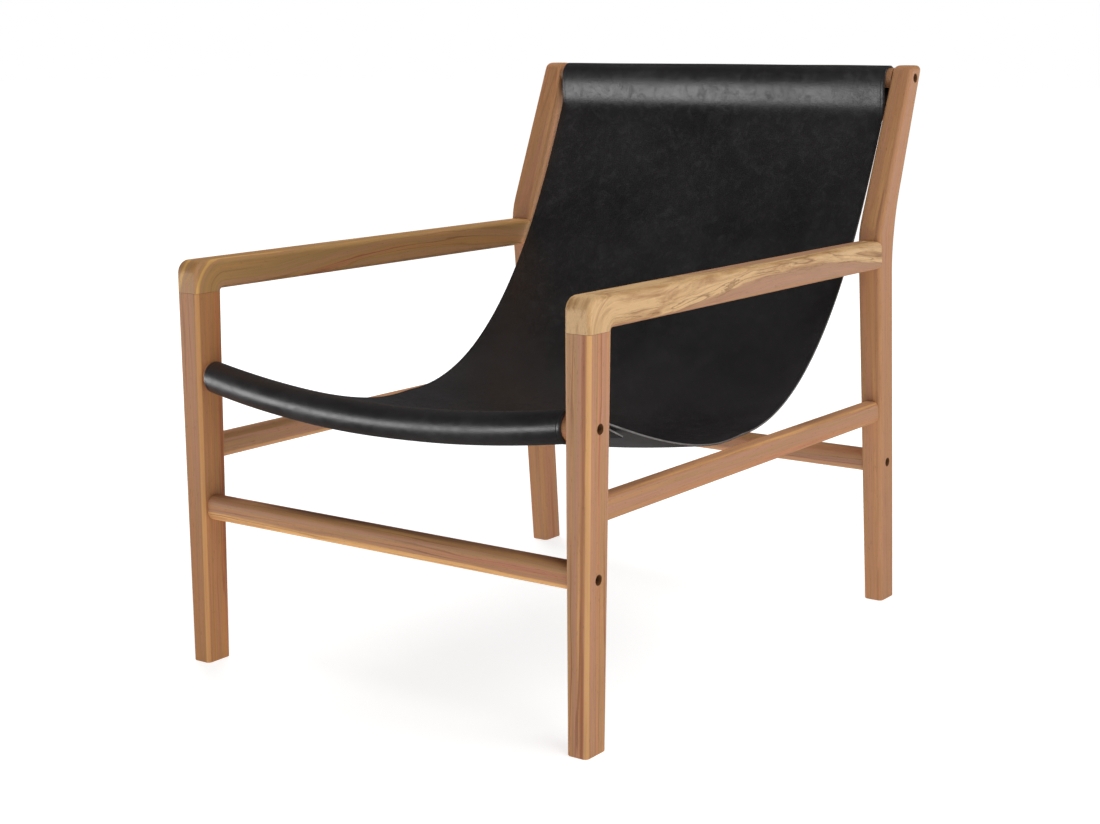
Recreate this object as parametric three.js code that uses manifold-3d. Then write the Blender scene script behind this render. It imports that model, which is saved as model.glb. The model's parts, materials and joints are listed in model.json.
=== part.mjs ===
// Leather sling lounge chair: a bolted wooden frame that carries one sheet of leather.
// Millimetres. X runs across the chair, Y from its front to its back, Z up. The chair faces -Y.
// "left" and "right" are the sitter's: the left side is +X.

import * as THREE from 'three';
import { mergeVertices } from 'three/addons/utils/BufferGeometryUtils.js';
import Module from 'manifold-3d';

// Side frames
const chairWidth = 630;
const legThickness = 35;
const footThickness = 28.5;
const edgeRadius = 6;
const footChamfer = 0.6;

// Front legs, which stand upright and taper to the foot
const frontLegDepth = 45;
const frontFootDepth = 40.5;

// Arms, whose front end runs over the leg and keeps a short shoulder there
const armTop = 526.5;
const armThickness = 38;
const armNoseRadius = 17;
const armShoulder = 3;
const shoulderFillet = 4;

// Rear legs, which rake back to the foot below the bend and lean back above it
const bendHeight = 536.5;
const bendFront = 713.2;
const frontBendEase = 22;
const backBendEase = 56;
const postDepth = 43;
const postFootDepth = 41.5;
const postFootSetback = 52.5;
const postTop = 764.5;
const postTopThickness = 30;
const postTopDepth = 32.5;
const postTopSetback = 92.5;
const postTopRounding = 8;
const leastEdgeRadius = 1;

// Stretchers
const sideStretcherHeight = 283;
const sideStretcherTall = 31;
const sideStretcherThick = 25;
const sideStretcherRounding = 9;
const crossStretcherHeight = 207;
const crossStretcherTall = 31.5;
const crossStretcherDepth = 28;
const crossStretcherRounding = 11;

// Rails that carry the leather; the seat rail dips and bows forward between the legs
const seatRailHeight = 379;
const seatRailDiameter = 33;
const seatRailDip = 22.3;
const seatRailBow = 14.5;
const topRailDrop = 17.5;
const topRailDiameter = 28;

// Leather sheet, with a sewn sleeve at each end
const leatherThickness = 3;
const leatherSideGap = 4.5;
const sleeveClearance = 0.5;
const bellyHeight = 303;
const bellySetback = 417;
const bellyDip = 22;
const bellyFrontPullLength = 43.5;
const bellyRearPullLength = 219.2;
const seatFrontPullLength = 310;
const seatFrontSlope = 22;
const backTopPullLength = 121.3;
const backTopSlope = 23;
const topSleeveReach = 21.2;
const topSleeveFall = 57;
const topSleeveSlope = 17;
const topSleevePullLength = 26;
const seatSeamDistance = 55;
const seatFlapLength = 56;
const seatFlapDrop = 4.5;
const topFlapLength = 16;
const flapClearance = 0.6;

// Fasteners
const dowelDiameter = 8;
const dowelLength = 36;
const armDowelSpacing = 19;
const stretcherDowelSpacing = 13;
const pinDiameter = 6;
const pinLength = 24;
const pinOffset = 10;
const boltDiameter = 6;
const boltHeadDiameter = 11;
const boltHeadHeight = 5;
const boltSocketWidth = 4;
const boltSocketDepth = 3;
const boltReach = 14;
const boltHoleDiameter = 12;
const boltHoleDepth = 13;
const insertDiameter = 10;
const insertLength = 15;

// Fits
const jointGap = 0.3;
const dowelClearance = 0.3;
const dowelEndRoom = 0.5;
const boltClearance = 0.3;

// Fineness of the curved surfaces
const cornerSteps = 5;
const noseSteps = 8;
const bendSteps = 10;
const roundSides = 24;
const dowelSides = 12;
const boltSides = 12;
const hexSides = 6;
const slingSpans = 8;
const backSpans = 16;
const seatSpans = 12;
const topRollSpans = 12;
const topSleeveSpans = 10;
const seatSleeveSpans = 12;
const flapSpans = 4;

const woodFinish = { color: 0xb98a5e, roughness: 0.5, metalness: 0 };
const dowelFinish = { color: 0xd9bd92, roughness: 0.7, metalness: 0 };
const leatherFinish = { color: 0x1b1a1a, roughness: 0.45, metalness: 0 };
const steelFinish = { color: 0x3a3a3c, roughness: 0.4, metalness: 1 };
const brassFinish = { color: 0xb08d4a, roughness: 0.4, metalness: 1 };

const wasm = await Module();
wasm.setup();

const mix = THREE.MathUtils.lerp;
const point = (x, y, z) => new THREE.Vector3(x, y, z);
const sides = { left: 1, right: -1 };

// Conversion between geometries and the solids that are joined and cut

function toSolid(geometry) {
  const bare = geometry.clone();
  bare.deleteAttribute('normal');
  bare.deleteAttribute('uv');
  const merged = mergeVertices(bare);
  return new wasm.Manifold(new wasm.Mesh({
    numProp: 3,
    vertProperties: new Float32Array(merged.attributes.position.array),
    triVerts: new Uint32Array(merged.index.array),
  }));
}

function toGeometry(solid) {
  const mesh = solid.getMesh();
  const geometry = new THREE.BufferGeometry();
  geometry.setAttribute('position', new THREE.BufferAttribute(mesh.vertProperties, 3));
  geometry.setIndex(new THREE.BufferAttribute(mesh.triVerts, 1));
  geometry.computeVertexNormals();
  return geometry;
}

// The pieces by name, which the joints below drill before they are put together

const pieces = new Map();

function addPiece(name, solid, finish) {
  pieces.set(name, { solid, finish });
}

function carve(name, tool) {
  const piece = pieces.get(name);
  piece.solid = piece.solid.subtract(tool);
}

// A closed body through a row of outlines that have the same number of points.
// Each outline turns counterclockwise as seen from the end of the row.
function loft(rings) {
  const count = rings[0].length;
  const faces = [];
  for (let ring = 0; ring + 1 < rings.length; ring++) {
    for (let k = 0; k < count; k++) {
      const a = ring * count + k;
      const b = ring * count + ((k + 1) % count);
      faces.push(a, b, b + count, a, b + count, a + count);
    }
  }
  const last = (rings.length - 1) * count;
  for (let k = 0; k < count / 2 - 1; k++) {
    const far = count - 1 - k;
    faces.push(k, far, far - 1, k, far - 1, k + 1);
    faces.push(last + k, last + far - 1, last + far, last + k, last + k + 1, last + far - 1);
  }
  const geometry = new THREE.BufferGeometry();
  const coordinates = rings.flat().flatMap((p) => [p.x, p.y, p.z]);
  geometry.setAttribute('position', new THREE.Float32BufferAttribute(coordinates, 3));
  geometry.setIndex(faces);
  return toSolid(geometry);
}

// Points of a rectangle with round corners, counterclockwise about its own middle
function roundedOutline(width, depth, radius) {
  const points = [];
  for (let corner = 0; corner < 4; corner++) {
    const sideX = corner === 0 || corner === 3 ? 1 : -1;
    const sideY = corner < 2 ? 1 : -1;
    for (let step = 0; step <= cornerSteps; step++) {
      const angle = (corner + step / cornerSteps) * Math.PI / 2;
      const x = sideX * (width / 2 - radius) + radius * Math.cos(angle);
      const y = sideY * (depth / 2 - radius) + radius * Math.sin(angle);
      points.push(new THREE.Vector2(x, y));
    }
  }
  return points;
}

function circleOutline(diameter) {
  return Array.from({ length: roundSides }, (_, k) => {
    const angle = 2 * Math.PI * k / roundSides;
    return new THREE.Vector2(diameter / 2 * Math.cos(angle), diameter / 2 * Math.sin(angle));
  });
}

// A straight rod between two points
function rod(from, to, diameter, sideCount) {
  const along = to.clone().sub(from);
  const geometry = new THREE.CylinderGeometry(diameter / 2, diameter / 2, along.length(), sideCount);
  const upright = point(0, 1, 0);
  geometry.applyQuaternion(new THREE.Quaternion().setFromUnitVectors(upright, along.normalize()));
  const middle = from.clone().add(to).multiplyScalar(0.5);
  geometry.translate(middle.x, middle.y, middle.z);
  return toSolid(geometry);
}

// Legs

const armUnderside = armTop - armThickness;
const frontLegTop = armUnderside - armShoulder;
const legMiddleX = (chairWidth - legThickness) / 2;
const frontLegMiddleY = frontLegDepth / 2;

// A value that runs straight from the foot to the bend and on to the top, eased round the bend
function throughBend(foot, bend, top, ease, z) {
  const lower = (bend - foot) / bendHeight;
  const upper = (top - bend) / (postTop - bendHeight);
  const past = z - bendHeight;
  const turned = Math.max(0, Math.min(past + ease, 2 * ease));
  const beyond = Math.max(0, past - ease);
  const eased = turned * turned / (4 * ease) + beyond;
  return bend + past * lower + eased * (upper - lower);
}

function rearLegSection(z) {
  const footFront = bendFront + postFootSetback;
  const topFront = bendFront + postTopSetback;
  const front = throughBend(footFront, bendFront, topFront, frontBendEase, z);
  const footBack = footFront + postFootDepth;
  const topBack = topFront + postTopDepth;
  const back = throughBend(footBack, bendFront + postDepth, topBack, backBendEase, z);
  const below = z < bendHeight;
  const share = below ? z / bendHeight : (postTop - z) / (postTop - bendHeight);
  const thickness = mix(below ? footThickness : postTopThickness, legThickness, share);
  return { front, back, thickness };
}

function frontLegSection(z) {
  const share = z / frontLegTop;
  const depth = mix(frontFootDepth, frontLegDepth, share);
  const front = frontLegMiddleY - depth / 2;
  return { front, back: front + depth, thickness: mix(footThickness, legThickness, share) };
}

// One horizontal outline of a leg, moved outwards by an offset
function legRing(section, side, z, offset) {
  const width = section.thickness + 2 * offset;
  const depth = section.back - section.front + 2 * offset;
  const middleY = (section.front + section.back) / 2;
  const radius = Math.max(edgeRadius + offset, leastEdgeRadius);
  return roundedOutline(width, depth, radius)
    .map((p) => point(side * legMiddleX + p.x, middleY + p.y, z));
}

function frontLeg(side, growth) {
  return loft([
    legRing(frontLegSection(0), side, 0, growth - footChamfer),
    legRing(frontLegSection(footChamfer), side, footChamfer, growth),
    legRing(frontLegSection(frontLegTop), side, frontLegTop, growth),
  ]);
}

function rearLeg(side, growth) {
  const rings = [
    legRing(rearLegSection(0), side, 0, growth - footChamfer),
    legRing(rearLegSection(footChamfer), side, footChamfer, growth),
  ];
  const ease = Math.max(frontBendEase, backBendEase);
  for (let step = 0; step <= bendSteps; step++) {
    const z = bendHeight + ease * (2 * step / bendSteps - 1);
    rings.push(legRing(rearLegSection(z), side, z, growth));
  }
  const shoulder = postTop - postTopRounding;
  for (let step = 0; step <= cornerSteps; step++) {
    const angle = step / cornerSteps * Math.PI / 2;
    const z = shoulder + postTopRounding * Math.sin(angle);
    const drawnIn = postTopRounding * (1 - Math.cos(angle));
    rings.push(legRing(rearLegSection(z), side, z, growth - drawnIn));
  }
  return loft(rings);
}

// Arm: its side outline with every edge rounded, trimmed flat on the leg and coped to the rear leg

function arm(side) {
  const spare = frontLegDepth;
  const back = rearLegSection(armUnderside).front + edgeRadius;
  const outline = new THREE.Shape();
  outline.moveTo(0, frontLegTop - spare);
  outline.lineTo(frontLegDepth, frontLegTop - spare);
  outline.lineTo(frontLegDepth, armUnderside - shoulderFillet);
  outline.quadraticCurveTo(frontLegDepth, armUnderside, frontLegDepth + shoulderFillet, armUnderside);
  outline.lineTo(back + spare, armUnderside);
  outline.lineTo(back + spare, armTop);
  outline.lineTo(armNoseRadius, armTop);
  outline.absarc(armNoseRadius, armTop - armNoseRadius, armNoseRadius, Math.PI / 2, Math.PI);
  const geometry = new THREE.ExtrudeGeometry(outline, {
    depth: legThickness - 2 * edgeRadius,
    bevelThickness: edgeRadius,
    bevelSize: edgeRadius,
    bevelOffset: -edgeRadius,
    bevelSegments: cornerSteps,
    curveSegments: noseSteps,
  });
  geometry.translate(0, 0, edgeRadius - legThickness / 2);
  geometry.applyMatrix4(new THREE.Matrix4().makeBasis(point(0, 1, 0), point(0, 0, 1), point(1, 0, 0)));
  geometry.translate(side * legMiddleX, 0, 0);
  const below = new THREE.BoxGeometry(2 * legThickness, 2 * frontLegDepth, 2 * spare);
  below.translate(side * legMiddleX, frontLegMiddleY, frontLegTop + jointGap - spare);
  const behind = new THREE.BoxGeometry(2 * legThickness, 4 * spare, 2 * armTop);
  behind.translate(side * legMiddleX, back + 2 * spare, armTop);
  return toSolid(geometry)
    .subtract(toSolid(below))
    .subtract(toSolid(behind))
    .subtract(rearLeg(side, jointGap));
}

for (const [name, side] of Object.entries(sides)) {
  addPiece(`front_leg_${name}`, frontLeg(side, 0), woodFinish);
  addPiece(`rear_leg_${name}`, rearLeg(side, 0), woodFinish);
  addPiece(`armrest_${name}`, arm(side), woodFinish);
}

// Stretchers

function sideStretcher(side) {
  const outline = roundedOutline(sideStretcherThick, sideStretcherTall, sideStretcherRounding);
  const ring = (y) => outline
    .map((p) => point(side * legMiddleX - p.x, y, sideStretcherHeight + p.y));
  const rear = rearLegSection(sideStretcherHeight);
  return loft([ring(frontLegMiddleY), ring((rear.front + rear.back) / 2)])
    .subtract(frontLeg(side, jointGap))
    .subtract(rearLeg(side, jointGap));
}

// Half the length of a piece that runs across between two legs
function halfSpan(legSection) {
  return legMiddleX - legSection.thickness / 2 - jointGap;
}

function crossStretcher(legSection) {
  const half = halfSpan(legSection);
  const middleY = (legSection.front + legSection.back) / 2;
  const outline = roundedOutline(crossStretcherDepth, crossStretcherTall, crossStretcherRounding);
  const ring = (x) => outline.map((p) => point(x, middleY + p.x, crossStretcherHeight + p.y));
  return loft([ring(-half), ring(half)]);
}

for (const [name, side] of Object.entries(sides)) {
  addPiece(`side_stretcher_${name}`, sideStretcher(side), woodFinish);
}
addPiece('front_stretcher', crossStretcher(frontLegSection(crossStretcherHeight)), woodFinish);
addPiece('rear_stretcher', crossStretcher(rearLegSection(crossStretcherHeight)), woodFinish);

// Rails

const seatRailLeg = frontLegSection(seatRailHeight);
const topRailHeight = postTop - topRailDrop;
const topRailLeg = rearLegSection(topRailHeight);

function seatRailAxis(x) {
  const share = 1 - (x / halfSpan(seatRailLeg)) ** 2;
  const y = frontLegMiddleY - seatRailBow * share;
  return new THREE.Vector2(y, seatRailHeight - seatRailDip * share);
}

function topRailAxis() {
  return new THREE.Vector2((topRailLeg.front + topRailLeg.back) / 2, topRailHeight);
}

const leatherWidth = chairWidth - 2 * (legThickness + leatherSideGap);
const slingXs = Array.from(
  { length: slingSpans + 1 },
  (_, k) => leatherWidth * (k / slingSpans - 0.5),
);

function rail(axis, half, diameter) {
  const rings = [-half, ...slingXs, half].map((x) => {
    const middle = axis(x);
    return circleOutline(diameter).map((p) => point(x, middle.x + p.x, middle.y + p.y));
  });
  return loft(rings);
}

addPiece('front_seat_rail', rail(seatRailAxis, halfSpan(seatRailLeg), seatRailDiameter), woodFinish);
addPiece('top_back_rail', rail(topRailAxis, halfSpan(topRailLeg), topRailDiameter), woodFinish);

// Leather sheet

// The point at a distance and a direction from another one, in the plane across the sheet
function away(from, degrees, distance) {
  const angle = THREE.MathUtils.degToRad(degrees);
  return new THREE.Vector2(
    from.x + distance * Math.cos(angle),
    from.y + distance * Math.sin(angle),
  );
}

// Where a line from a point touches a circle, as a direction seen from the circle's middle
function touchDirection(middle, radius, from, turn) {
  const line = from.clone().sub(middle);
  const spread = Math.acos(radius / line.length());
  return THREE.MathUtils.radToDeg(Math.atan2(line.y, line.x) + turn * spread);
}

function arcPoints(middle, radius, from, to, spans) {
  return Array.from({ length: spans + 1 }, (_, k) => away(middle, mix(from, to, k / spans), radius));
}

// Points beside a curve, from one distance along it to another, at an offset that may grow
function besideCurve(curve, from, to, offset, growth, spans) {
  const whole = curve.getLength();
  return Array.from({ length: spans + 1 }, (_, k) => {
    const share = k / spans;
    const along = mix(from, to, share) / whole;
    const tangent = curve.getTangentAt(along);
    const normal = new THREE.Vector2(-tangent.y, tangent.x);
    return curve.getPointAt(along).addScaledVector(normal, offset + growth * share);
  });
}

// The middle line of the sheet at one place across it, from the top flap's end to the seat flap's end
function slingLine(x) {
  const share = 1 - (2 * x / leatherWidth) ** 2;
  const seatAxis = seatRailAxis(x);
  const topAxis = topRailAxis();
  const seatRadius = seatRailDiameter / 2 + sleeveClearance + leatherThickness / 2;
  const topRadius = topRailDiameter / 2 + sleeveClearance + leatherThickness / 2;
  const seatTouch = 90 - seatFrontSlope;
  const seatStart = away(seatAxis, seatTouch, seatRadius);
  const topTouch = 180 - topSleeveSlope;
  const sleeveStart = away(topAxis, topTouch, topRadius);
  const backStart = new THREE.Vector2(topAxis.x - topSleeveReach, topAxis.y - topSleeveFall);
  const belly = new THREE.Vector2(bellySetback, bellyHeight - bellyDip * share);
  const topSleeve = new THREE.CubicBezierCurve(
    sleeveStart,
    away(sleeveStart, topTouch + 90, topSleevePullLength),
    away(backStart, 90 - backTopSlope, topSleevePullLength),
    backStart,
  );
  const back = new THREE.CubicBezierCurve(
    backStart,
    away(backStart, -90 - backTopSlope, backTopPullLength),
    away(belly, 0, bellyRearPullLength),
    belly,
  );
  const seat = new THREE.CubicBezierCurve(
    seatStart,
    away(seatStart, -seatFrontSlope, seatFrontPullLength),
    away(belly, 180, bellyFrontPullLength),
    belly,
  );
  const layer = leatherThickness + flapClearance;
  const topFlapEnd = topSleeve.getLength();
  const topFlap = besideCurve(topSleeve, topFlapEnd, topFlapEnd - topFlapLength, layer, 0, flapSpans);
  const seatFlapEnd = seatSeamDistance + seatFlapLength;
  const seatFlap = besideCurve(seat, seatSeamDistance, seatFlapEnd, -layer, -seatFlapDrop, flapSpans);
  const behind = touchDirection(topAxis, topRadius, topFlap[flapSpans], 1);
  const under = touchDirection(seatAxis, seatRadius, seatFlap[0], -1) + 360;
  return [
    ...topFlap,
    ...arcPoints(topAxis, topRadius, behind, topTouch, topRollSpans),
    ...topSleeve.getSpacedPoints(topSleeveSpans).slice(1),
    ...back.getSpacedPoints(backSpans).slice(1),
    ...seat.getSpacedPoints(seatSpans).reverse().slice(1, -1),
    ...arcPoints(seatAxis, seatRadius, seatTouch, under, seatSleeveSpans),
    ...seatFlap,
  ];
}

// Both faces of the sheet at one place across it
function slingFaces(x) {
  const line = slingLine(x);
  const upper = [];
  const lower = [];
  line.forEach((p, k) => {
    const before = line[Math.max(0, k - 1)];
    const after = line[Math.min(line.length - 1, k + 1)];
    const into = p.clone().sub(before).normalize();
    const out = after.clone().sub(p).normalize();
    const along = into.add(out).normalize();
    const normal = new THREE.Vector2(-along.y, along.x).multiplyScalar(leatherThickness / 2);
    upper.push(point(x, p.x - normal.x, p.y - normal.y));
    lower.push(point(x, p.x + normal.x, p.y + normal.y));
  });
  return { upper, lower };
}

function sling() {
  const stations = slingXs.map(slingFaces);
  const rings = stations[0].upper.map((_, k) => {
    const over = stations.map((station) => station.upper[k]).reverse();
    const under = stations.map((station) => station.lower[k]);
    return [...over, ...under];
  });
  return loft(rings);
}

addPiece('leather_sling', sling(), leatherFinish);

// Dowels

function addDowel(name, middle, direction, diameter, length, joined) {
  const half = direction.clone().multiplyScalar(length / 2);
  const room = direction.clone().multiplyScalar(length / 2 + dowelEndRoom);
  const from = middle.clone().sub(half);
  const to = middle.clone().add(half);
  addPiece(name, rod(from, to, diameter, dowelSides), dowelFinish);
  const wide = diameter + 2 * dowelClearance;
  const hole = rod(middle.clone().sub(room), middle.clone().add(room), wide, dowelSides);
  joined.forEach((piece) => carve(piece, hole));
}

const alongX = point(1, 0, 0);
const alongY = point(0, 1, 0);
const alongZ = point(0, 0, 1);

for (const [name, side] of Object.entries(sides)) {
  const x = side * legMiddleX;
  const armMiddle = (armTop + armUnderside) / 2;
  for (const [place, step] of [['front', -0.5], ['rear', 0.5]]) {
    const middle = point(x, frontLegMiddleY + step * armDowelSpacing, frontLegTop);
    const joined = [`armrest_${name}`, `front_leg_${name}`];
    addDowel(`arm_leg_dowel_${place}_${name}`, middle, alongZ, dowelDiameter, dowelLength, joined);
  }
  for (const [place, step] of [['lower', -0.5], ['upper', 0.5]]) {
    const armZ = armMiddle + step * armDowelSpacing;
    const armEnd = point(x, rearLegSection(armZ).front, armZ);
    const atArm = [`armrest_${name}`, `rear_leg_${name}`];
    addDowel(`arm_rear_dowel_${place}_${name}`, armEnd, alongY, dowelDiameter, dowelLength, atArm);
    const barZ = sideStretcherHeight + step * stretcherDowelSpacing;
    const barFront = point(x, frontLegSection(barZ).back, barZ);
    const atFront = [`side_stretcher_${name}`, `front_leg_${name}`];
    const frontName = `side_stretcher_front_dowel_${place}_${name}`;
    addDowel(frontName, barFront, alongY, dowelDiameter, dowelLength, atFront);
    const barBack = point(x, rearLegSection(barZ).front, barZ);
    const atBack = [`side_stretcher_${name}`, `rear_leg_${name}`];
    const backName = `side_stretcher_rear_dowel_${place}_${name}`;
    addDowel(backName, barBack, alongY, dowelDiameter, dowelLength, atBack);
  }
}

// Bolts through the legs, each into a threaded insert in the end of a rail or stretcher

function addBolt(place, name, side, axis, section, bar, leg) {
  const outside = legMiddleX + section.thickness / 2;
  const barEnd = halfSpan(section);
  const at = (x) => point(side * x, axis.x, axis.y);
  const seat = outside - boltHoleDepth;
  carve(leg, rod(at(outside + boltHoleDepth), at(seat), boltHoleDiameter, roundSides));
  carve(leg, rod(at(outside), at(barEnd), boltDiameter + 2 * boltClearance, boltSides));

  const headTop = seat + jointGap + boltHeadHeight;
  const head = rod(at(headTop), at(seat + jointGap), boltHeadDiameter, boltSides);
  const shank = rod(at(headTop - boltSocketDepth), at(barEnd - boltReach), boltDiameter, boltSides);
  const across = 2 * boltSocketWidth / Math.sqrt(3);
  const socket = rod(at(headTop + boltSocketDepth), at(headTop - boltSocketDepth), across, hexSides);
  addPiece(`bolt_${place}_${name}`, head.add(shank).subtract(socket), steelFinish);

  const insertEnd = barEnd - insertLength;
  const bore = boltDiameter + 2 * boltClearance;
  const barrel = rod(at(barEnd), at(insertEnd), insertDiameter, boltSides);
  const thread = rod(at(barEnd + insertLength), at(insertEnd - insertLength), bore, boltSides);
  addPiece(`insert_${place}_${name}`, barrel.subtract(thread), brassFinish);
  const pocket = insertDiameter + 2 * boltClearance;
  carve(bar, rod(at(barEnd + insertLength), at(insertEnd - jointGap), pocket, boltSides));
}

// A small dowel beside a bolt, which keeps the bar from turning
function addPin(place, name, side, axis, section, bar, leg) {
  const middle = point(side * halfSpan(section), axis.x, axis.y - pinOffset);
  addDowel(`pin_${place}_${name}`, middle, alongX, pinDiameter, pinLength, [bar, leg]);
}

function middleOf(section, z) {
  return new THREE.Vector2((section.front + section.back) / 2, z);
}

const frontBarLeg = frontLegSection(crossStretcherHeight);
const rearBarLeg = rearLegSection(crossStretcherHeight);
const seatRailEnd = seatRailAxis(halfSpan(seatRailLeg));
for (const [name, side] of Object.entries(sides)) {
  const frontLegName = `front_leg_${name}`;
  const rearLegName = `rear_leg_${name}`;
  const frontBar = middleOf(frontBarLeg, crossStretcherHeight);
  const rearBar = middleOf(rearBarLeg, crossStretcherHeight);
  addBolt('seat_rail', name, side, seatRailEnd, seatRailLeg, 'front_seat_rail', frontLegName);
  addPin('seat_rail', name, side, seatRailEnd, seatRailLeg, 'front_seat_rail', frontLegName);
  addBolt('front_stretcher', name, side, frontBar, frontBarLeg, 'front_stretcher', frontLegName);
  addPin('front_stretcher', name, side, frontBar, frontBarLeg, 'front_stretcher', frontLegName);
  addBolt('rear_stretcher', name, side, rearBar, rearBarLeg, 'rear_stretcher', rearLegName);
  addPin('rear_stretcher', name, side, rearBar, rearBarLeg, 'rear_stretcher', rearLegName);
  addBolt('top_rail', name, side, topRailAxis(), topRailLeg, 'top_back_rail', rearLegName);
}

// The chair, with its origin on the floor in the middle of its footprint

const chair = new THREE.Group();
for (const [name, { solid, finish }] of pieces) {
  const mesh = new THREE.Mesh(toGeometry(solid), new THREE.MeshStandardMaterial(finish));
  mesh.name = name;
  chair.add(mesh);
}
const extent = new THREE.Box3().setFromObject(chair);
chair.position.y = -(extent.min.y + extent.max.y) / 2;

export default chair;
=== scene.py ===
"""Looks of the leather sling lounge chair: a streaked wood frame and one hanging sheet of black leather.

Metres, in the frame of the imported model: X across the chair, Y from its front to its back, Z up.
"""

import json
import math

import bpy
import numpy as np
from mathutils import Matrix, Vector, noise


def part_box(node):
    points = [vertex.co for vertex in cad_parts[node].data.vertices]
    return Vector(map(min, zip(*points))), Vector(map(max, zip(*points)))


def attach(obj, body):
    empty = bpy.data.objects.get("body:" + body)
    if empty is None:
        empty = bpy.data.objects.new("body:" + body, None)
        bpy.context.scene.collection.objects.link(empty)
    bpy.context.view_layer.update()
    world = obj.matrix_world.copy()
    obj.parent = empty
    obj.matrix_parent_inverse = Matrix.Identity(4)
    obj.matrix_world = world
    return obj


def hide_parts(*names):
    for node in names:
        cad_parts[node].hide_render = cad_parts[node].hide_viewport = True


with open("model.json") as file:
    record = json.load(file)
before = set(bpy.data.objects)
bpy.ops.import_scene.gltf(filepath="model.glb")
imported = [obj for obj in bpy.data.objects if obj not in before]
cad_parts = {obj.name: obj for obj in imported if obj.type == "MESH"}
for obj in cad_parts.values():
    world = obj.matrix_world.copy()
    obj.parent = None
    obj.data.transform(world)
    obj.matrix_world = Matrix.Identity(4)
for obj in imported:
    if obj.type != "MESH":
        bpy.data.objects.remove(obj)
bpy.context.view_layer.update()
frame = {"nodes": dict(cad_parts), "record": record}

front_leg_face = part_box("front_leg_left")[0].y

# Camera
LENS_MM = 62.277
SENSOR_MM = 36.0
CAMERA_FROM_FRONT_LEG = Vector((1.44818, -1.68428, 0.79757))
CAMERA_DOWN_DEG = 11.0253
CAMERA_TURN_DEG = 35.1424

# Leather sheet
LEATHER_THICKNESS = 0.003
SLEEVE_CLEARANCE = 0.0005
SEAT_RAIL_RADIUS = 0.0165
BELLY_HEIGHT = 0.303
BELLY_SETBACK = 0.417
BELLY_DIP = 0.022
BELLY_FRONT_PULL = 0.0435
BELLY_REAR_PULL = 0.2192
SEAT_FRONT_PULL = 0.310
SEAT_FRONT_SLOPE_DEG = 22.0
BACK_TOP_PULL = 0.1213
BACK_TOP_SLOPE_DEG = 23.0
TOP_SLEEVE_REACH = 0.0212
TOP_SLEEVE_FALL = 0.057
TOP_SLEEVE_SLOPE_DEG = 17.0
TOP_SLEEVE_PULL = 0.026
SEAT_SEAM = 0.055
SEAT_FLAP = 0.056
SEAT_FLAP_DROP = 0.0045
TOP_FLAP = 0.016
FLAP_CLEARANCE = 0.0006
SHEET_TRIM = 0.001

# Details of the sheet that show close by
EDGE_ROUNDING = 0.0006
CREASE_INSET = 0.0048
CREASE_WIDTH = 0.0011
CREASE_DEPTH = 0.0003
RIPPLE_HEIGHT = 0.0005
RIPPLE_LENGTH = 0.11

# Where the cut edge turns from pale to painted shade: by height at the top sleeve, by depth at the front
# one
TOP_PALE_TO = 0.62
TOP_SHADED_FROM = 0.68
FRONT_SHADED_TO = -0.365
FRONT_PALE_FROM = -0.345

# Stitches that hold the flaps of both sleeves, with the rise and the ends as shares of the radius
STITCH_FROM_FLAP_END = 0.006
STITCH_PITCH = 0.0062
STITCH_LENGTH = 0.0047
STITCH_RADIUS = 0.00045
STITCH_END_INSET = 0.009
STITCH_RISE = 0.3
STITCH_DIP = 1.3
STITCH_END = 0.35

# Fineness of the meshes
CURVE_STEPS = 400
BACK_ROWS = 150
SEAT_ROWS = 110
ROLL_ROWS = 44
SLEEVE_ROWS = 36
FLAP_ROWS = 14
EDGE_COLUMNS = (0.0, 0.3, 1.0)
CREASE_COLUMNS = (-1.5, -0.8, -0.4, 0.0, 0.4, 0.8, 1.5)
INNER_COLUMNS = 61
INNER_INSET = 0.012
STITCH_RINGS = 7
STITCH_SIDES = 8
SHARP_EDGE_DEG = 40.0
MERGE_DISTANCE = 0.00001


# Node graphs

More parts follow.
